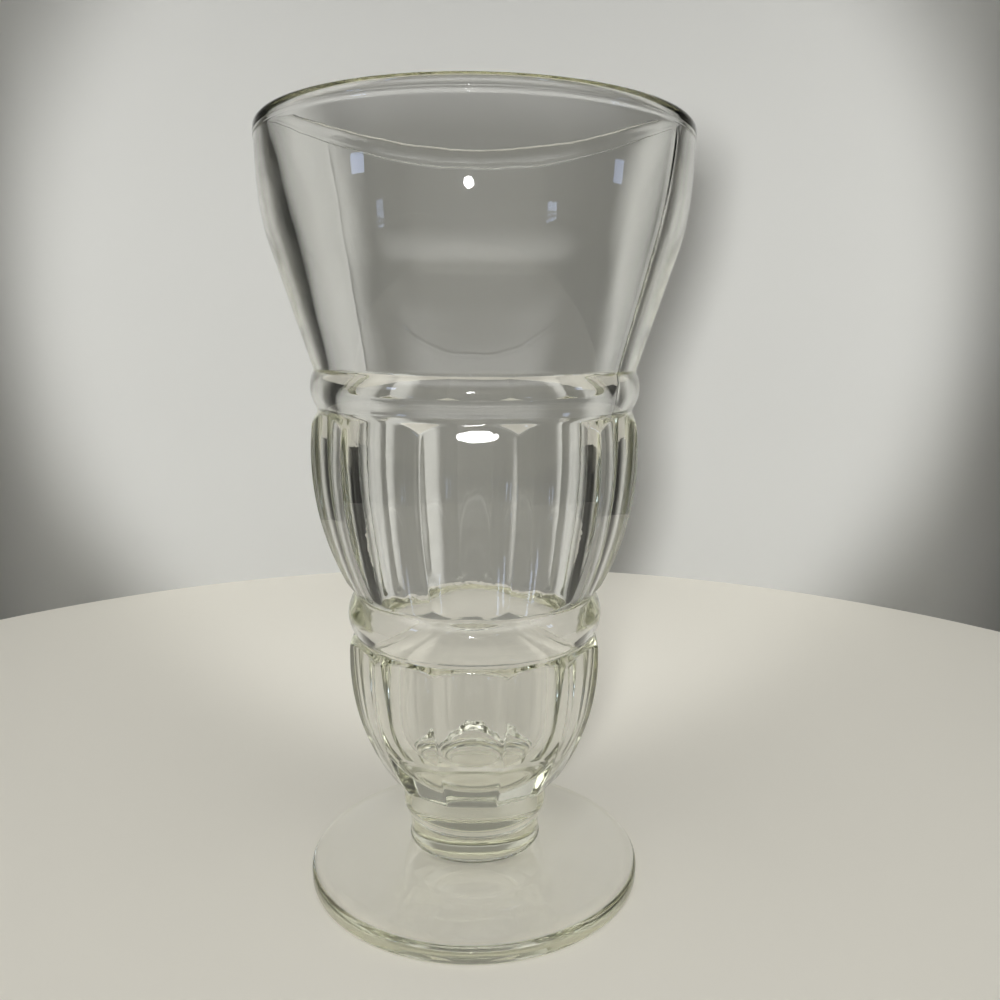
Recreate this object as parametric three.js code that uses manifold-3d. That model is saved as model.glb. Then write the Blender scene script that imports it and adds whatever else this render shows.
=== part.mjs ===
// Pressed sundae glass: a round bowl with two panelled tiers, fused hot onto a round foot.
// Millimetres, +Z up. The origin is the centre of the plane that the foot stands on.
import * as THREE from 'three';
import { mergeVertices } from 'three/addons/utils/BufferGeometryUtils.js';
import Module from 'manifold-3d';

const wasm = await Module();
wasm.setup();

// Foot: a disc that thins towards its edge, dished underneath so that it stands on a flat ring.
const footRadius = 40.2;
const footEdgeHeight = 2.6; // upright band round the edge
const footEdgeRound = 0.6; // between the resting ring and the band
const footBevelWidth = 2.5; // rounded shoulder above the band
const footBevelHeight = 1.2;
const footBevelLean = 0.8; // how far the shoulder leans in from the band, which makes a crease
const footRise = 5; // of the sloping top, from the shoulder to the collar
const restingWidth = 5;
const hollowDepth = 1.6;

// Collar: the short drum on the foot that carries the bowl.
const collarRadius = 15.8;
const collarHeight = 6;
const collarFillet = 1.8;

// Base ring: the solid rounded end of the bowl, a little wider than the collar.
const baseRingOverhang = 1.7;
const baseRingHeight = 9.8;
const baseRingRound = 4;
const jointNotch = 0.25; // step from the collar out to the base ring's flat underside
const ledgeCove = 0.8; // between the base ring and the ledge under the lower tier

// Panels: flat facets, cut into the round wall of both tiers, that meet in upright ridges.
const panelCount = 12;
const ridgeRelief = 0.5; // how far the round wall stands outside the ridges before it is cut

// Lower tier, from the ledge to the groove under the lower ring. Radii are taken over the ridges.
const lowerTierHeight = 36.1;
const lowerTierRadius = 30.15;
const lowerTierBelly = 30.8; // height of the widest place above the ledge
const lowerTierCurve = 55; // radius of the tier's side, seen from the front
const lowerTierShoulder = 4; // height of the rounding into the groove above

// Lower ring: a bead between two grooves.
const lowerRingHeight = 10.4;
const lowerRingRadius = 30.1;
const lowerRingGrooveBelow = 28.2;
const lowerRingGrooveAbove = 28.1;

// Middle tier, from the lower ring to the neck under the upper ring.
const middleTierHeight = 42;
const middleTierRadius = 37.75;
const middleTierBelly = 32.3;
const middleTierCurve = 64;
const middleTierShoulder = 6;

// Upper ring: a bead on a short straight neck.
const neckRadius = 36;
const neckHeight = 0.9;
const upperRingHeight = 8.4;
const upperRingRadius = 37.45;
const upperRingGrooveAbove = 36.5;

// Upper bowl: a smooth cone that bends upright below the lip.
const rimRadius = 47.7;
const bendHeight = 33.9; // of the corner where cone and rim would meet, above the upper ring
const bendBelow = 7.5; // how far the bend reaches below and above that corner
const bendAbove = 13.1;
const rimBandHeight = 4.4; // of the upright band, up to the top of the lip
const lipOuterRound = 1.1;
const lipInnerRound = 2.3; // the two roundings meet at the top of the lip

// Glass thickness round the cavity, taken level with each part of the outside.
const bendWall = 7;
const coneWall = 5.3;
const upperRingWall = 5.3;
const middleTierWall = 7.2;
const lowerRingWall = 5.9;
const lowerTierWall = 8.7;
const floorThickness = 13; // solid glass under the cavity
const floorRadius = 10; // of the nearly flat middle of the floor
const floorRise = 10; // how far the lower wall runs on before it turns into the floor

// Fineness of the round surfaces.
const roundSegments = 48;
const curveSteps = 4;
const panelSteps = 10;
const cutterMargin = 1.5; // how far the panel cutter reaches past the glass

const panelAngle = 2 * Math.PI / panelCount;

// Heights of the parts above the resting plane, from the foot up.
const footShoulderZ = footEdgeHeight + footBevelHeight;
const footTopZ = footShoulderZ + footRise;
const jointZ = footTopZ + collarHeight;
const ledgeZ = jointZ + baseRingHeight;
const lowerGrooveZ = ledgeZ + lowerTierHeight;
const upperGrooveZ = lowerGrooveZ + lowerRingHeight;
const neckZ = upperGrooveZ + middleTierHeight;
const upperRingZ = neckZ + neckHeight;
const bowlConeZ = upperRingZ + upperRingHeight;
const bendZ = bowlConeZ + bendHeight;
const bendTopZ = bendZ + bendAbove;
const lipTopZ = bendTopZ + rimBandHeight;

// The curved side of a tier: an arc about a centre far across the axis.
const lowerSide = {
  centre: lowerTierRadius - lowerTierCurve,
  bellyZ: ledgeZ + lowerTierBelly,
  curve: lowerTierCurve,
};
const middleSide = {
  centre: middleTierRadius - middleTierCurve,
  bellyZ: upperGrooveZ + middleTierBelly,
  curve: middleTierCurve,
};

function sideRadius(side, z, relief = 0) {
  return side.centre + Math.sqrt((side.curve + relief) ** 2 - (z - side.bellyZ) ** 2);
}

// The round wall of a tier before it is cut, as an arc between two heights.
function addTierWall(outline, side, fromZ, toZ) {
  const radius = side.curve + ridgeRelief;
  const fromAngle = Math.asin((fromZ - side.bellyZ) / radius);
  const toAngle = Math.asin((toZ - side.bellyZ) / radius);
  outline.absarc(side.centre, side.bellyZ, radius, fromAngle, toAngle);
}

// The corner of a shoulder lies on the wall's tangent, halfway up to the groove.
function shoulderCorner(side, wallZ, grooveZ) {
  const wall = sideRadius(side, wallZ, ridgeRelief);
  const slope = (side.bellyZ - wallZ) / (wall - side.centre);
  const cornerZ = (wallZ + grooveZ) / 2;
  return new THREE.Vector2(wall + slope * (cornerZ - wallZ), cornerZ);
}

// A bead swells from one groove to the next and reaches its crown halfway.
function addBead(outline, crown, grooveZ, nextGroove, nextGrooveZ) {
  const groove = outline.currentPoint.x;
  const control = (4 * crown - groove - nextGroove) / 2;
  outline.quadraticCurveTo(control, (grooveZ + nextGrooveZ) / 2, nextGroove, nextGrooveZ);
}

function addBaseRing(outline) {
  const underside = collarRadius + jointNotch;
  const radius = collarRadius + baseRingOverhang;
  const roundCentre = radius - baseRingRound;
  const startAngle = Math.acos((underside - roundCentre) / baseRingRound);
  const roundZ = jointZ + baseRingRound * Math.sin(startAngle);
  outline.lineTo(underside, jointZ);
  outline.absarc(roundCentre, roundZ, baseRingRound, -startAngle, 0);
  outline.lineTo(radius, ledgeZ - ledgeCove);
  outline.quadraticCurveTo(radius, ledgeZ, radius + ledgeCove, ledgeZ);
}

function addLowerTier(outline) {
  const shoulderZ = lowerGrooveZ - lowerTierShoulder;
  const corner = shoulderCorner(lowerSide, shoulderZ, lowerGrooveZ);
  addTierWall(outline, lowerSide, ledgeZ, shoulderZ);
  outline.quadraticCurveTo(corner.x, corner.y, lowerRingGrooveBelow, lowerGrooveZ);
}

function addMiddleTier(outline) {
  const lowZ = upperGrooveZ + middleTierShoulder;
  const highZ = neckZ - middleTierShoulder;
  const low = shoulderCorner(middleSide, lowZ, upperGrooveZ);
  const high = shoulderCorner(middleSide, highZ, neckZ);
  outline.quadraticCurveTo(low.x, low.y, sideRadius(middleSide, lowZ, ridgeRelief), lowZ);
  addTierWall(outline, middleSide, lowZ, highZ);
  outline.quadraticCurveTo(high.x, high.y, neckRadius, neckZ);
}

function addUpperBowl(outline) {
  const coneSlope = (rimRadius - upperRingGrooveAbove) / bendHeight;
  outline.lineTo(rimRadius - coneSlope * bendBelow, bendZ - bendBelow);
  outline.quadraticCurveTo(rimRadius, bendZ, rimRadius, bendTopZ);
  const lipCrown = rimRadius - lipOuterRound;
  outline.lineTo(rimRadius, lipTopZ - lipOuterRound);
  outline.absarc(lipCrown, lipTopZ - lipOuterRound, lipOuterRound, 0, Math.PI / 2);
  outline.absarc(lipCrown, lipTopZ - lipInnerRound, lipInnerRound, Math.PI / 2, Math.PI);
}

// The cavity tapers all the way down, so that the pressing plunger can draw out of it.
function addCavity(outline) {
  const coneZ = (bowlConeZ + bendZ) / 2;
  const ringZ = (upperRingZ + bowlConeZ) / 2;
  const middleZ = (upperGrooveZ + neckZ) / 2;
  const lowerRingZ = (lowerGrooveZ + upperGrooveZ) / 2;
  const lowerZ = (ledgeZ + lowerGrooveZ) / 2;
  const floorZ = jointZ + floorThickness;
  const lowerRing = new THREE.Vector2(lowerRingRadius - lowerRingWall, lowerRingZ);
  const lower = new THREE.Vector2(sideRadius(lowerSide, lowerZ) - lowerTierWall, lowerZ);
  const lowerSlope = (lowerRing.x - lower.x) / (lowerRing.y - lower.y);
  const turn = new THREE.Vector2(lower.x - lowerSlope * floorRise, lower.y - floorRise);
  outline.splineThru([
    new THREE.Vector2(rimRadius - bendWall, bendZ),
    new THREE.Vector2((rimRadius + upperRingGrooveAbove) / 2 - coneWall, coneZ),
    new THREE.Vector2(upperRingRadius - upperRingWall, ringZ),
    new THREE.Vector2(sideRadius(middleSide, middleZ) - middleTierWall, middleZ),
    lowerRing,
    lower,
  ]);
  outline.bezierCurveTo(turn.x, turn.y, floorRadius, floorZ, 0, floorZ);
}

function revolve(points, segments) {
  const geometry = new THREE.LatheGeometry(points, segments, panelAngle / 2);
  return geometry.rotateX(Math.PI / 2);
}

// A ring round one tier whose hole has the panels as its sides.
function panelCutter(side, fromZ, toZ) {
  const outside = rimRadius + cutterMargin;
  const points = [new THREE.Vector2(outside, fromZ), new THREE.Vector2(outside, toZ)];
  for (let step = 0; step <= panelSteps; step += 1) {
    const z = toZ + (fromZ - toZ) * step / panelSteps;
    points.push(new THREE.Vector2(sideRadius(side, z), z));
  }
  points.push(points[0].clone());
  return revolve(points, panelCount);
}

// A closed solid from a surface: shared corners become one, and triangles that shrink to a line go.
function toSolid(geometry) {
  geometry.deleteAttribute('normal');
  geometry.deleteAttribute('uv');
  const merged = mergeVertices(geometry);
  const corners = merged.index.array;
  const triangles = [];
  for (let i = 0; i < corners.length; i += 3) {
    const [a, b, c] = corners.slice(i, i + 3);
    if (a !== b && b !== c && c !== a) {
      triangles.push(a, b, c);
    }
  }
  const mesh = new wasm.Mesh({
    numProp: 3,
    vertProperties: merged.attributes.position.array,
    triVerts: new Uint32Array(triangles),
  });
  return new wasm.Manifold(mesh);
}

function toGeometry(solid) {
  const mesh = solid.getMesh();
  const geometry = new THREE.BufferGeometry();
  geometry.setAttribute('position', new THREE.BufferAttribute(mesh.vertProperties, 3));
  geometry.setIndex(new THREE.BufferAttribute(mesh.triVerts, 1));
  geometry.computeVertexNormals();
  return geometry;
}

function bowlGeometry() {
  const outline = new THREE.Path();
  outline.moveTo(0, jointZ);
  addBaseRing(outline);
  addLowerTier(outline);
  addBead(outline, lowerRingRadius, lowerGrooveZ, lowerRingGrooveAbove, upperGrooveZ);
  addMiddleTier(outline);
  outline.lineTo(neckRadius, upperRingZ);
  addBead(outline, upperRingRadius, upperRingZ, upperRingGrooveAbove, bowlConeZ);
  addUpperBowl(outline);
  addCavity(outline);
  const round = toSolid(revolve(outline.getPoints(curveSteps), roundSegments));
  const lowerPanels = toSolid(panelCutter(lowerSide, ledgeZ - cutterMargin, lowerGrooveZ));
  const middlePanels = toSolid(panelCutter(middleSide, upperGrooveZ, neckZ));
  return toGeometry(round.subtract(lowerPanels).subtract(middlePanels));
}

function footGeometry() {
  const restingOuter = footRadius - footEdgeRound;
  const restingInner = restingOuter - restingWidth;
  const shoulderRadius = footRadius - footBevelWidth;
  const slope = footRise / (shoulderRadius - collarRadius);
  const outline = new THREE.Path();
  outline.moveTo(0, hollowDepth);
  outline.quadraticCurveTo(restingInner / 2, hollowDepth, restingInner, 0);
  outline.lineTo(restingOuter, 0);
  outline.absarc(restingOuter, footEdgeRound, footEdgeRound, -Math.PI / 2, 0);
  outline.lineTo(footRadius, footEdgeHeight);
  outline.quadraticCurveTo(footRadius - footBevelLean, footShoulderZ, shoulderRadius, footShoulderZ);
  outline.lineTo(collarRadius + collarFillet, footTopZ - slope * collarFillet);
  outline.quadraticCurveTo(collarRadius, footTopZ, collarRadius, footTopZ + collarFillet);
  outline.lineTo(collarRadius, jointZ);
  outline.lineTo(0, jointZ);
  return toGeometry(toSolid(revolve(outline.getPoints(curveSteps), roundSegments)));
}

// Soda-lime glass with a faint warm green in its thick edges.
const clearGlass = { color: 0xe6ebdc, roughness: 0.06, metalness: 0 };

function piece(name, geometry) {
  const mesh = new THREE.Mesh(geometry, new THREE.MeshStandardMaterial(clearGlass));
  mesh.name = name;
  return mesh;
}

const sundaeGlass = new THREE.Group();
sundaeGlass.add(piece('bowl', bowlGeometry()));
sundaeGlass.add(piece('foot', footGeometry()));

export default sundaeGlass;
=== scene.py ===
import math

import bmesh
import bpy
from mathutils import Matrix, Vector
from mathutils.geometry import interpolate_bezier


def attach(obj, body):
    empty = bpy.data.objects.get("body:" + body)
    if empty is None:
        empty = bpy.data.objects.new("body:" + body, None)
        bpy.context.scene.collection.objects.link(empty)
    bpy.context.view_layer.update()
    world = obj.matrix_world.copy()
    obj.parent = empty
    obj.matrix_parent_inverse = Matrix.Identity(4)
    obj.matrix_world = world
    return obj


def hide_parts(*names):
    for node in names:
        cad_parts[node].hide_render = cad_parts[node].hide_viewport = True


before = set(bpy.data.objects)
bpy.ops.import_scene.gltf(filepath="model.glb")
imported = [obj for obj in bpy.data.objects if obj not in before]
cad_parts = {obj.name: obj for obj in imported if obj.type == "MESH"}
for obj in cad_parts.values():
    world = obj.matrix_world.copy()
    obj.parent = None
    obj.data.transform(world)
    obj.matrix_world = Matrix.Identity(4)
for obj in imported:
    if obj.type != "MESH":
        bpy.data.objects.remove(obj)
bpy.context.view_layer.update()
mm = 0.001  # every size below is in millimetres, the scene is in metres
print("frame loaded")


# Drawing an outline: a chain of edges in the XZ plane, which a spin turns into glass.

def startOutline(radius, height):
    mesh = bmesh.new()
    mesh.verts.layers.int.new("tier")
    mesh.verts.layers.int.new("crease")
    return {"mesh": mesh, "tip": mesh.verts.new((radius * mm, 0, height * mm))}


def drawLine(outline, radius, height, steps=1):
    mesh = outline["mesh"]
    start = outline["tip"].co.copy()
    end = Vector((radius * mm, 0, height * mm))
    for step in range(1, steps + 1):
        vert = mesh.verts.new(start.lerp(end, step / steps))
        mesh.edges.new((outline["tip"], vert))
        outline["tip"] = vert


def drawArc(outline, radius, height, degrees, steps):
    made = bmesh.ops.spin(outline["mesh"], geom=[outline["tip"]], cent=(radius * mm, 0, height * mm),
                          axis=(0, -1, 0), angle=math.radians(degrees), steps=steps)
    outline["tip"] = made["geom_last"][0]


def drawBend(outline, corner, end, steps):
    start = outline["tip"].co
    middle = Vector((corner[0] * mm, 0, corner[1] * mm))
    stop = Vector((end[0] * mm, 0, end[1] * mm))
    handles = start.lerp(middle, 2 / 3), stop.lerp(middle, 2 / 3)
    for point in interpolate_bezier(start, *handles, stop, steps + 1)[1:]:
        drawLine(outline, point.x / mm, point.z / mm)


def markCrease(outline):
    outline["tip"][outline["mesh"].verts.layers.int["crease"]] = 1


# The bowl: pressed in one shot, with two panelled tiers between ring beads.

bowl = {
    "columnsPerPanel": 20,
    "ridgeCrowding": 0.7,  # draws the columns towards the ridges
    "panels": 12,
    "relief": 0.5,  # round wall outside the ridges, before the panels are pressed
    "ridgeSoftness": 0.16,
    "scallopSoftness": 0.14,
    "joint": 14.8,
    "collar": 15.8,
    "notch": 0.25,
    "baseRing": 17.5,
    "baseRingRound": 4,
    "ledge": 24.6,
    "ledgeCove": 0.8,
    "ledgeReach": 0.94,  # share of the tier's radius at which the flat of the ledge ends
    "tierFoot": 1.2,
    "lowerTier": {"mark": 1, "low": 24.6, "high": 60.7, "widest": 55.4, "radius": 30.15, "curve": 55, "shoulder": 4},
    "lowerGrooves": (28.2, 28.1),
    "lowerRing": 30.1,
    "middleTier": {"mark": 2, "low": 71.1, "high": 113.1, "widest": 103.4, "radius": 37.75, "curve": 64,
                   "shoulder": 6},
    "neck": 36,
    "upperRingLow": 114.0,
    "upperRing": 37.45,
    "upperRingHigh": 122.4,
    "upperGroove": 36.5,
    "grooveRise": 0.5,
    "rim": 47.7,
    "bend": 156.3,
    "bendReach": (7.5, 13.1),
    "lipBand": 3.4,
    "lipBandProud": 0.18,
    "lipTop": 173.8,
    "lipRound": (1.6, 2.3),
    "lipGroove": 0.09,
    "lipLines": (0.4, 0.7, 0.8, 0.9, 1.2),  # heights over the band's lower edge: its step, then the groove
    "cavity": ((40.7, 156.3), (36.8, 139.35), (32.15, 118.2), (29.45, 92.1), (24.2, 65.9), (19.75, 42.65)),
    "floor": 27.8,
    "floorRadius": 10,
    "floorRise": 10,
    "seam": {"angle": 60, "width": 0.45, "height": 0.025, "low": 114.2, "high": 169.8},
}


def sideRadius(tier, height, relief=0):
    rise = height - tier["widest"]
    return tier["radius"] - tier["curve"] + math.sqrt((tier["curve"] + relief) ** 2 - rise ** 2)


def sideAngle(tier, height):
    return math.degrees(math.asin((height - tier["widest"]) / (tier["curve"] + bowl["relief"])))


def shoulderCorner(tier, wallHeight, grooveHeight):
    wall = sideRadius(tier, wallHeight, bowl["relief"])
    slope = (tier["widest"] - wallHeight) / (wall - tier["radius"] + tier["curve"])
    middle = (wallHeight + grooveHeight) / 2
    return wall + slope * (middle - wallHeight), middle


def drawTierWall(outline, tier, low, high, steps):
    turn = sideAngle(tier, high) - sideAngle(tier, low)
    drawArc(outline, tier["radius"] - tier["curve"], tier["widest"], turn, steps)


def drawBead(outline, crown, low, high, groove, nextGroove, steps):
    drawBend(outline, ((4 * crown - groove - nextGroove) / 2, (low + high) / 2), (nextGroove, high), steps)


def markTier(outline, before, tier):
    layer = outline["mesh"].verts.layers.int["tier"]
    for vert in outline["mesh"].verts:
        if vert not in before:
            vert[layer] = tier["mark"]


def drawBowl():
    outline = startOutline(0, bowl["joint"])
    drawLine(outline, bowl["collar"], bowl["joint"], 5)
    drawLine(outline, bowl["collar"] + bowl["notch"], bowl["joint"])
    roundCentre = bowl["baseRing"] - bowl["baseRingRound"]
    lean = math.acos((bowl["collar"] + bowl["notch"] - roundCentre) / bowl["baseRingRound"])
    drawArc(outline, roundCentre, bowl["joint"] + bowl["baseRingRound"] * math.sin(lean), math.degrees(lean), 10)
    drawLine(outline, bowl["baseRing"], bowl["ledge"] - bowl["ledgeCove"], 6)
    drawBend(outline, (bowl["baseRing"], bowl["ledge"]), (bowl["baseRing"] + bowl["ledgeCove"], bowl["ledge"]), 6)
    tier = bowl["lowerTier"]
    drawLine(outline, sideRadius(tier, tier["low"]) * bowl["ledgeReach"], bowl["ledge"], 3)
    known = set(outline["mesh"].verts)
    drawLine(outline, sideRadius(tier, tier["low"], bowl["relief"]), tier["low"])
    markCrease(outline)
    wallTop = tier["high"] - tier["shoulder"]
    drawTierWall(outline, tier, tier["low"], tier["low"] + bowl["tierFoot"], 5)
    drawTierWall(outline, tier, tier["low"] + bowl["tierFoot"], wallTop, 37)
    drawBend(outline, shoulderCorner(tier, wallTop, tier["high"]), (bowl["lowerGrooves"][0], tier["high"]), 16)
    markCrease(outline)
    markTier(outline, known, tier)
    drawBead(outline, bowl["lowerRing"], tier["high"], bowl["middleTier"]["low"], *bowl["lowerGrooves"], 26)
    markCrease(outline)
    tier = bowl["middleTier"]
    known = set(outline["mesh"].verts)
    wallLow, wallTop = tier["low"] + tier["shoulder"], tier["high"] - tier["shoulder"]
    corner = shoulderCorner(tier, wallLow, tier["low"])
    drawBend(outline, corner, (sideRadius(tier, wallLow, bowl["relief"]), wallLow), 22)
    drawTierWall(outline, tier, wallLow, wallTop, 34)
    drawBend(outline, shoulderCorner(tier, wallTop, tier["high"]), (bowl["neck"], tier["high"]), 22)
    markCrease(outline)
    markTier(outline, known, tier)
    drawLine(outline, bowl["neck"], bowl["upperRingLow"], 3)
    markCrease(outline)
    drawBead(outline, bowl["upperRing"], bowl["upperRingLow"], bowl["upperRingHigh"],
             bowl["neck"], bowl["upperGroove"], 24)
    markCrease(outline)
    wall = bowl["rim"] - bowl["lipBandProud"]
    slope = (wall - bowl["upperGroove"]) / (bowl["bend"] - bowl["upperRingHigh"])
    below, above = bowl["bendReach"]
    rise = bowl["grooveRise"]
    drawLine(outline, bowl["upperGroove"] + slope * rise, bowl["upperRingHigh"] + rise, 2)
    drawLine(outline, wall - slope * below, bowl["bend"] - below, 14)
    drawBend(outline, (wall, bowl["bend"]), (wall, bowl["bend"] + above), 18)
    band = bowl["lipTop"] - bowl["lipBand"]
    step, grooveLow, groove, grooveHigh, flat = bowl["lipLines"]
    drawLine(outline, wall, band - step)
    drawBend(outline, (wall, band), (wall + bowl["lipBandProud"] / 2, band), 3)
    drawBend(outline, (bowl["rim"], band), (bowl["rim"], band + step), 3)
    outer, inner = bowl["lipRound"]
    drawBend(outline, (bowl["rim"], band + grooveLow), (bowl["rim"] - bowl["lipGroove"], band + groove), 3)
    drawBend(outline, (bowl["rim"], band + grooveHigh), (bowl["rim"], band + flat), 3)
    drawLine(outline, bowl["rim"], bowl["lipTop"] - outer, 3)
    drawArc(outline, bowl["rim"] - outer, bowl["lipTop"] - outer, 90, 7)
    drawArc(outline, bowl["rim"] - outer, bowl["lipTop"] - inner, 90, 10)
    drawCavity(outline)
    return outline["mesh"]


def drawCavity(outline):
    start = outline["tip"].co / mm
    knots = [(start.x, start.z), *bowl["cavity"]]
    spans = list(zip(knots, knots[1:]))
    slopes = [(b[0] - a[0]) / (b[1] - a[1]) for a, b in spans]
    leans = [slopes[0], *((a + b) / 2 for a, b in zip(slopes, slopes[1:])), slopes[-1]]
    for (low, high), leanLow, leanHigh in zip(spans, leans, leans[1:]):
        third = (high[1] - low[1]) / 3
        leave = low[0] + leanLow * third, low[1] + third
        reach = high[0] - leanHigh * third, high[1] - third
        drawHandles(outline, leave, reach, high, max(8, round(abs(third) * 2.2)))
    last = knots[-1]
    turn = last[0] - leans[-1] * bowl["floorRise"], last[1] - bowl["floorRise"]
    drawHandles(outline, turn, (bowl["floorRadius"], bowl["floor"]), (0, bowl["floor"]), 30)


def drawHandles(outline, first, second, end, steps):
    points = [Vector((r * mm, 0, z * mm)) for r, z in (first, second, end)]
    for point in interpolate_bezier(outline["tip"].co.copy(), *points, steps + 1)[1:]:
        drawLine(outline, point.x / mm, point.z / mm)


# Turning, pressing and closing a piece.

def softMin(a, b, width):
    overlap = max(width - abs(a - b), 0) / width
    return min(a, b) - overlap * overlap * width / 4


def spinOutline(mesh, columns):
    geometry = mesh.verts[:] + mesh.edges[:]
    bmesh.ops.spin(mesh, geom=geometry, cent=(0, 0, 0), axis=(0, 0, 1), angle=math.tau, steps=columns,
                   use_merge=True)
    bmesh.ops.remove_doubles(mesh, verts=mesh.verts[:], dist=0.002 * mm)


def pressPanels(mesh):
    layer = mesh.verts.layers.int["tier"]
    tiers = {bowl[name]["mark"]: bowl[name] for name in ("lowerTier", "middleTier")}
    panel = math.tau / bowl["panels"]
    for vert in mesh.verts:
        radius = math.hypot(vert.co.x, vert.co.y) / mm
        angle = math.atan2(vert.co.y, vert.co.x)
        centre = round(angle / panel) * panel
        off = angle - centre
        off += bowl["ridgeCrowding"] * panel / math.tau * math.sin(math.tau * off / panel)
        if vert[layer]:
            flat = sideRadius(tiers[vert[layer]], vert.co.z / mm) * math.cos(panel / 2)
            cut = softMin(flat / math.cos(off), flat / math.cos(panel - abs(off)), bowl["ridgeSoftness"])
            radius = softMin(radius, cut, bowl["scallopSoftness"])
        vert.co.x = radius * mm * math.cos(centre + off)
        vert.co.y = radius * mm * math.sin(centre + off)


# The mould opens in two halves, which leave a fine raised line down each side of the flared part.

def raiseSeams(mesh):
    seam = bowl["seam"]
    turn = math.radians(seam["angle"])
    across = Vector((math.cos(turn), math.sin(turn), 0))
    for side in (-1, 1):
        outer = []
        for face in mesh.faces:
            centre = face.calc_center_median()
            if seam["low"] * mm < centre.z < seam["high"] * mm and face.normal.dot(centre) > 0:
                outer.append(face)
        edges = {edge for face in outer for edge in face.edges}
        verts = {vert for face in outer for vert in face.verts}
        bmesh.ops.bisect_plane(mesh, geom=outer + list(edges) + list(verts), dist=0.001 * mm,
                               plane_co=across * side * seam["width"] / 2 * mm, plane_no=across)
    for vert in mesh.verts:
        flat = Vector((vert.co.x, vert.co.y, 0))
        outside = flat.length > bowl["cavity"][2][0] * mm and vert.normal.dot(flat) > 0
        level = seam["low"] * mm < vert.co.z < seam["high"] * mm
        if outside and level and abs(vert.co.dot(across)) < 0.01 * mm:
            vert.co += flat.normalized() * seam["height"] * mm


def softenCreases(mesh, rounds=2):
    layer = mesh.verts.layers.int["crease"]
    line = [vert for vert in mesh.verts if vert[layer]]
    near = {edge.other_vert(vert) for vert in line for edge in vert.link_edges}
    for _ in range(rounds):
        bmesh.ops.smooth_vert(mesh, verts=list(near | set(line)), factor=0.5,
                              use_axis_x=True, use_axis_y=True, use_axis_z=True)


def finishPiece(name, mesh, material, node):
    bmesh.ops.recalc_face_normals(mesh, faces=mesh.faces[:])
    data = bpy.data.meshes.new(name)
    mesh.to_mesh(data)
    mesh.free()
    data.polygons.foreach_set("use_smooth", [True] * len(data.polygons))
    data.materials.append(material)
    piece = bpy.data.objects.new(name, data)
    bpy.context.scene.collection.objects.link(piece)
    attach(piece, "root")
    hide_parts(node)
    print(name, "made,", len(data.polygons), "faces")
    return piece


# The foot: pressed with its collar and fused hot under the bowl.

foot = {
    "columns": 180,
    "radius": 40.2,
    "edge": 2.6,
    "edgeRound": 0.6,
    "bevel": (2.5, 1.2),
    "bevelLean": 0.8,
    "rise": 5,
    "resting": 5,
    "hollow": 1.6,
    "collar": 15.8,
    "collarFillet": 0.5,
    "top": 14.8,
    "jointGap": 0.02,  # keeps the two fused faces from lying in one plane
}


def drawFoot():
    outer = foot["radius"] - foot["edgeRound"]
    inner = outer - foot["resting"]
    bevelWidth, bevelHeight = foot["bevel"]
    shoulder = foot["edge"] + bevelHeight
    shoulderRadius = foot["radius"] - bevelWidth
    collarBase = shoulder + foot["rise"]
    slope = foot["rise"] / (shoulderRadius - foot["collar"])
    outline = startOutline(0, foot["hollow"])
    drawBend(outline, (inner / 2, foot["hollow"]), (inner, 0), 18)
    drawLine(outline, outer, 0, 3)
    drawArc(outline, outer, foot["edgeRound"], 90, 6)
    drawLine(outline, foot["radius"], foot["edge"], 6)
    markCrease(outline)
    drawBend(outline, (foot["radius"] - foot["bevelLean"], shoulder), (shoulderRadius, shoulder), 10)
    drawLine(outline, foot["collar"] + foot["collarFillet"], collarBase - slope * foot["collarFillet"], 16)
    drawBend(outline, (foot["collar"], collarBase), (foot["collar"], collarBase + foot["collarFillet"]), 5)
    drawLine(outline, foot["collar"], foot["top"] - foot["jointGap"], 6)
    drawLine(outline, 0, foot["top"] - foot["jointGap"], 5)
    return outline["mesh"]


# Faces inside the fused joint get 1 in "fused", so that the glass there bends no light. "chill" is how strongly the
# cold iron rippled the glass: most on the panelled tiers, little where the flame polished it smooth again.

def markFused(piece, height, radius):
    fused = piece.data.attributes.new("fused", "FLOAT", "FACE")
    for face, value in zip(piece.data.polygons, fused.data):
        level = abs(face.center.z - height * mm) < 0.05 * mm
        value.value = 1.0 if level and math.hypot(face.center.x, face.center.y) < radius * mm else 0.0


def markChill(piece, low, high):
    chill = piece.data.attributes.new("chill", "FLOAT", "FACE")
    for face, value in zip(piece.data.polygons, chill.data):
        value.value = 1.0 if low * mm < face.center.z < high * mm else 0.3


# Materials.

def hexColour(value):
    parts = [(value >> shift & 255) / 255 for shift in (16, 8, 0)]
    return [p / 12.92 if p <= 0.04045 else ((p + 0.055) / 1.055) ** 2.4 for p in parts] + [1]


def addNode(tree, kind, settings=(), links=()):
    node = tree.nodes.new(kind)
    for name, value in dict(settings).items():
        if isinstance(name, int) or name in node.inputs:
            node.inputs[name].default_value = value
        else:
            setattr(node, name, value)
    for socket, source in dict(links).items():
        tree.links.new(source, node.inputs[socket])
    return node


def newTree(name):
    material = bpy.data.materials.new(name)
    material.use_nodes = True
    material.node_tree.nodes.clear()
    return material, material.node_tree


# Soda-lime glass, pressed in an iron mould and fire-polished: clear, with a yellow-green cast only where the eye looks
# along a thick edge, slow waves from the mould, fine ripples where cold iron chilled it, and the faint haze of long use
# round every highlight.

glass = {
    "ior": 1.52,
    "tint": 0xeeefcc,
    "tintDensity": 9,
    "waveSize": 12,
    "waveHeight": 0.06,
    "rippleSize": 2.6,
    "rippleHeight": 0.012,
    "roughness": (0.0, 0.025),
    "hazeSize": 16,
    "wear": (0.35, 0.7),
    "haze": 0.14,
    "hazeRoughness": 0.3,
}


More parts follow.
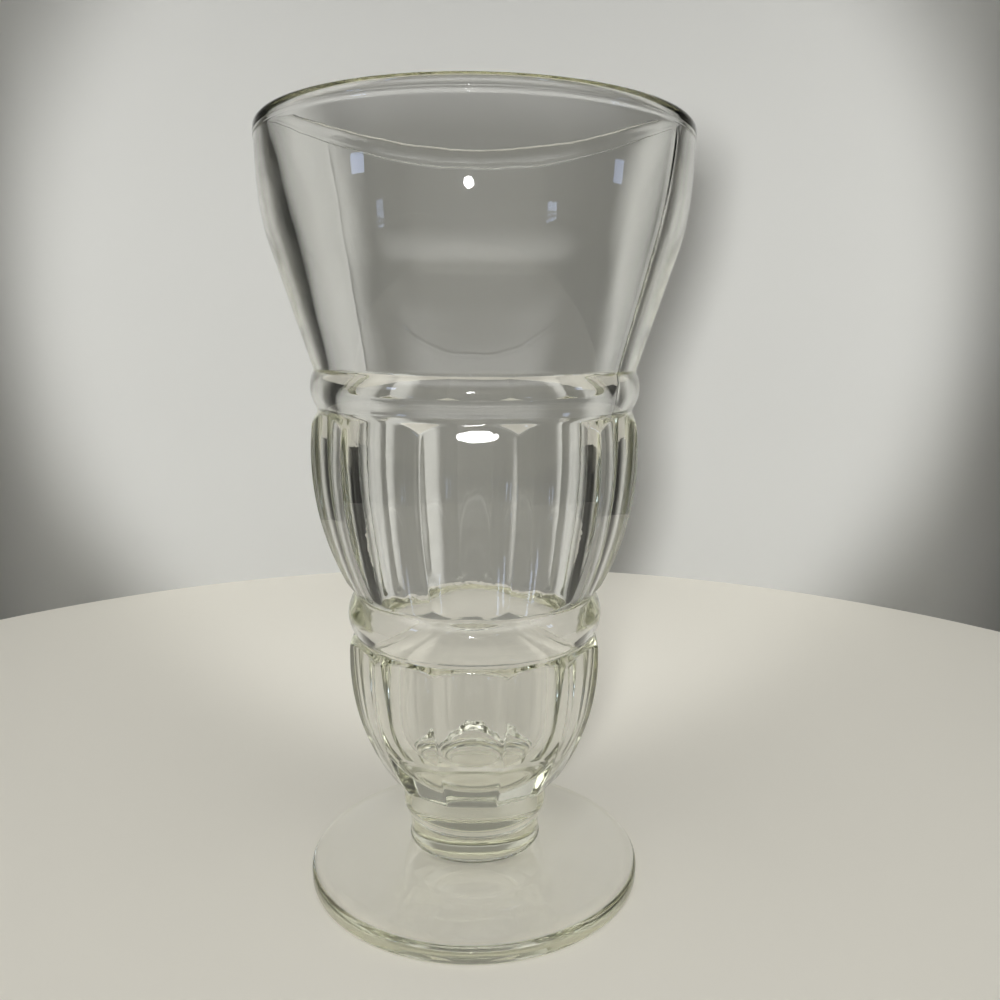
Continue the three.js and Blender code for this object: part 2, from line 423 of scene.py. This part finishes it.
def pressedGlass():
    material, tree = newTree("pressedSodaLimeGlass")
    place = addNode(tree, "ShaderNodeTexCoord").outputs["Object"]
    wave = addNode(tree, "ShaderNodeTexNoise", {"Scale": 1 / (glass["waveSize"] * mm), "Detail": 1.0},
                   {"Vector": place})
    ripple = addNode(tree, "ShaderNodeTexNoise", {"Scale": 1 / (glass["rippleSize"] * mm), "Detail": 2.0},
                     {"Vector": place})
    chill = addNode(tree, "ShaderNodeAttribute", {"attribute_name": "chill"})
    rippleHeight = addNode(tree, "ShaderNodeMath", {"operation": "MULTIPLY"},
                           {0: ripple.outputs["Fac"], 1: chill.outputs["Fac"]})
    waveBump = addNode(tree, "ShaderNodeBump", {"Strength": 1, "Distance": glass["waveHeight"] * mm},
                       {"Height": wave.outputs["Fac"]})
    rippleBump = addNode(tree, "ShaderNodeBump", {"Strength": 1, "Distance": glass["rippleHeight"] * mm},
                         {"Height": rippleHeight.outputs["Value"], "Normal": waveBump.outputs["Normal"]})
    wear = addNode(tree, "ShaderNodeTexNoise", {"Scale": 1 / (glass["hazeSize"] * mm), "Detail": 4.0},
                   {"Vector": place})
    clean, worn = glass["wear"]
    smooth, rough = glass["roughness"]
    roughness = addNode(tree, "ShaderNodeMapRange",
                        {"From Min": clean, "From Max": worn, "To Min": smooth, "To Max": rough},
                        {"Value": wear.outputs["Fac"]})
    fused = addNode(tree, "ShaderNodeAttribute", {"attribute_name": "fused"})
    ior = addNode(tree, "ShaderNodeMapRange", {"To Min": glass["ior"], "To Max": 1.0}, {"Value": fused.outputs["Fac"]})
    shader = addNode(tree, "ShaderNodeBsdfPrincipled",
                     {"Base Color": (1, 1, 1, 1), "Transmission Weight": 1, "IOR": glass["ior"],
                      "Coat Weight": glass["haze"], "Coat Roughness": glass["hazeRoughness"]},
                     {"Normal": rippleBump.outputs["Normal"], "Roughness": roughness.outputs["Result"],
                      "IOR": ior.outputs["Result"]})
    tint = addNode(tree, "ShaderNodeVolumeAbsorption",
                   {"Color": hexColour(glass["tint"]), "Density": glass["tintDensity"]})
    addNode(tree, "ShaderNodeOutputMaterial", {}, {"Surface": shader.outputs["BSDF"], "Volume": tint.outputs["Volume"]})
    return material


clearGlass = pressedGlass()

bowlMesh = drawBowl()
spinOutline(bowlMesh, bowl["panels"] * bowl["columnsPerPanel"])
pressPanels(bowlMesh)
softenCreases(bowlMesh)
bowlMesh.normal_update()
raiseSeams(bowlMesh)
bowlPiece = finishPiece("bowlPressed", bowlMesh, clearGlass, "bowl")
markFused(bowlPiece, bowl["joint"], bowl["collar"])
markChill(bowlPiece, bowl["ledge"], bowl["upperRingHigh"])

footMesh = drawFoot()
spinOutline(footMesh, foot["columns"])
softenCreases(footMesh, 1)
footPiece = finishPiece("footPressed", footMesh, clearGlass, "foot")
markFused(footPiece, foot["top"], foot["collar"])
markChill(footPiece, 0, 0)


# Stage, light and camera.

stage = {
    "radius": 300,
    "wallHeight": 420,
    "floorDrop": 0.1,
    "columns": 128,
    "roughness": 0.9,
    "floorColour": 0xc2bfb5,
    "floorGlow": 0.58,
    "wallColour": 0xd8d8d4,
    "paintedSideShade": 0x444443,  # painted shade: the wall is painted dark at both sides, standing for dark surroundings, which draws the dark lines in the glass
    "side": (205, 262),
    "band": {"front": (-40, -190), "low": (190, 265), "high": (350, 275), "glow": 2.4},  # painted reflection: a soft strip behind the camera that glows only in the glass's reflections and refractions, though no lamp is there
    "worldColour": 0xb8b8b6,
    "worldGlow": 0.08,
}


def floorPaper():
    material, tree = newTree("floorPaper")
    rays = addNode(tree, "ShaderNodeLightPath").outputs
    glow = rays["Is Camera Ray"]
    for ray in ("Is Glossy Ray", "Is Transmission Ray"):
        glow = addNode(tree, "ShaderNodeMath", {"operation": "MAXIMUM"}, {0: glow, 1: rays[ray]}).outputs["Value"]
    glow = addNode(tree, "ShaderNodeMath", {"operation": "MULTIPLY", 1: stage["floorGlow"]}, {0: glow}).outputs["Value"]
    colour = hexColour(stage["floorColour"])
    shader = addNode(tree, "ShaderNodeBsdfPrincipled", {"Base Color": colour, "Emission Color": colour,
                                                        "Roughness": stage["roughness"]},
                     {"Emission Strength": glow})
    addNode(tree, "ShaderNodeOutputMaterial", {}, {"Surface": shader.outputs["BSDF"]})
    return material


def wallPaper():
    material, tree = newTree("wallPaper")
    place = addNode(tree, "ShaderNodeTexCoord").outputs["Object"]
    across, along, height = addNode(tree, "ShaderNodeSeparateXYZ", {}, {"Vector": place}).outputs
    aside = addNode(tree, "ShaderNodeMath", {"operation": "ABSOLUTE"}, {"Value": across}).outputs["Value"]
    band = stage["band"]
    fades = []
    for source, (start, end) in ((aside, stage["side"]), (along, band["front"]),
                                 (height, band["low"]), (height, band["high"])):
        fade = addNode(tree, "ShaderNodeMapRange", {"interpolation_type": "SMOOTHSTEP", "From Min": start * mm,
                                                    "From Max": end * mm}, {"Value": source})
        fades.append(fade.outputs["Result"])
    # painted shade: the wall's colour turns from pale to dark towards both sides
    colour = addNode(tree, "ShaderNodeMixRGB", {"Color1": hexColour(stage["wallColour"]),
                                                "Color2": hexColour(stage["paintedSideShade"])},
                     {"Fac": fades[0]}).outputs["Color"]
    # painted reflection: the strip glows only for reflected and refracted rays, so the glass shows a bright band while
    # the camera sees plain wall
    rays = addNode(tree, "ShaderNodeLightPath").outputs
    glow = addNode(tree, "ShaderNodeMath", {"operation": "MAXIMUM"},
                   {0: rays["Is Glossy Ray"], 1: rays["Is Transmission Ray"]}).outputs["Value"]
    for fade in fades[1:]:
        glow = addNode(tree, "ShaderNodeMath", {"operation": "MULTIPLY"}, {0: glow, 1: fade}).outputs["Value"]
    shader = addNode(tree, "ShaderNodeBsdfPrincipled", {"Roughness": stage["roughness"],
                                                        "Emission Color": (*[band["glow"]] * 3, 1)},
                     {"Base Color": colour, "Emission Strength": glow})
    addNode(tree, "ShaderNodeOutputMaterial", {}, {"Surface": shader.outputs["BSDF"]})
    return material


def makeStage(name, outline, material):
    mesh = outline["mesh"]
    spinOutline(mesh, stage["columns"])
    data = bpy.data.meshes.new(name)
    mesh.to_mesh(data)
    mesh.free()
    data.polygons.foreach_set("use_smooth", [True] * len(data.polygons))
    data.materials.append(material)
    backdrop = bpy.data.objects.new(name, data)
    bpy.context.scene.collection.objects.link(backdrop)


floorOutline = startOutline(0, -stage["floorDrop"])
drawLine(floorOutline, stage["radius"], -stage["floorDrop"], 4)
makeStage("floor", floorOutline, floorPaper())
wallOutline = startOutline(stage["radius"], -stage["floorDrop"])
drawLine(wallOutline, stage["radius"], stage["wallHeight"], 4)
makeStage("wall", wallOutline, wallPaper())
print("stage set")

lamps = {
    "floorBox": {"size": (320, 320), "round": True, "place": (0, -160, 500), "aim": (0, -160, 0), "power": 1.0,
                 "hidden": ("glossy", "transmission")},
    "wallSpot": {"cone": 60, "blend": 0.4, "radius": 12, "place": (-4, -222, 138), "aim": (0, 300, 150), "power": 5.8,
                 "hidden": ("glossy", "transmission")},
    "keyBox": {"size": (17, 17), "round": True, "place": (-4, -222, 132), "aim": (0, 0, 120), "power": 0.03,
               "hidden": ("diffuse", "transmission")},
    "leftGlint": {"size": (32, 26), "place": (-221, -172, 166), "aim": (0, 0, 130), "power": 0.018, "colour": 0xc4d6ff,
                  "hidden": ("diffuse",)},
    "rightGlint": {"size": (26, 30), "place": (263, -96, 166), "aim": (0, 0, 130), "power": 0.012, "colour": 0xc4d6ff,
                   "hidden": ("diffuse",)},
}


def makeLamp(name, lamp):
    data = bpy.data.lights.new(name, "SPOT" if "cone" in lamp else "AREA")
    if "cone" in lamp:
        data.spot_size = math.radians(lamp["cone"])
        data.spot_blend = lamp["blend"]
        data.shadow_soft_size = lamp["radius"] * mm
    else:
        data.shape = "ELLIPSE" if "round" in lamp else "RECTANGLE"
        data.size, data.size_y = (side * mm for side in lamp["size"])
    data.energy = lamp["power"]
    data.color = hexColour(lamp.get("colour", 0xffffff))[:3]
    piece = bpy.data.objects.new(name, data)
    place = Vector(lamp["place"]) * mm
    piece.location = place
    piece.rotation_euler = (Vector(lamp["aim"]) * mm - place).to_track_quat("-Z", "Y").to_euler()
    for ray in lamp["hidden"]:
        setattr(piece, "visible_" + ray, False)
    piece.visible_camera = False
    bpy.context.scene.collection.objects.link(piece)


for name, lamp in lamps.items():
    makeLamp(name, lamp)
print(len(lamps), "lamps set")

world = bpy.data.worlds.new("studio")
bpy.context.scene.world = world
world.use_nodes = True
world.node_tree.nodes["Background"].inputs["Color"].default_value = hexColour(stage["worldColour"])
world.node_tree.nodes["Background"].inputs["Strength"].default_value = stage["worldGlow"]

camera = {"lens": 32.33, "sensor": 36, "distance": 208.8, "height": 128.1,
          "azimuth": 2.0, "yaw": 1.596, "pitch": 9.81, "roll": 0.353}


def makeCamera():
    data = bpy.data.cameras.new("camera")
    data.lens = camera["lens"]
    data.sensor_width = camera["sensor"]
    data.clip_start = 0.01
    piece = bpy.data.objects.new("camera", data)
    turn = math.radians(camera["azimuth"])
    place = Vector((math.sin(turn), -math.cos(turn), 0)) * camera["distance"] * mm
    place.z = camera["height"] * mm
    aim = (Matrix.Rotation(math.radians(camera["azimuth"] - camera["yaw"]), 4, "Z")
           @ Matrix.Rotation(math.radians(90 - camera["pitch"]), 4, "X")
           @ Matrix.Rotation(math.radians(camera["roll"]), 4, "Z"))
    piece.matrix_world = Matrix.Translation(place) @ aim
    bpy.context.scene.collection.objects.link(piece)
    bpy.context.scene.camera = piece


makeCamera()
print("camera set")

settings = bpy.context.scene
settings.view_settings.view_transform = "Standard"
settings.cycles.blur_glossy = 0
settings.cycles.max_bounces = 24
settings.cycles.glossy_bounces = 16
settings.cycles.transmission_bounces = 24
settings.cycles.transparent_max_bounces = 16
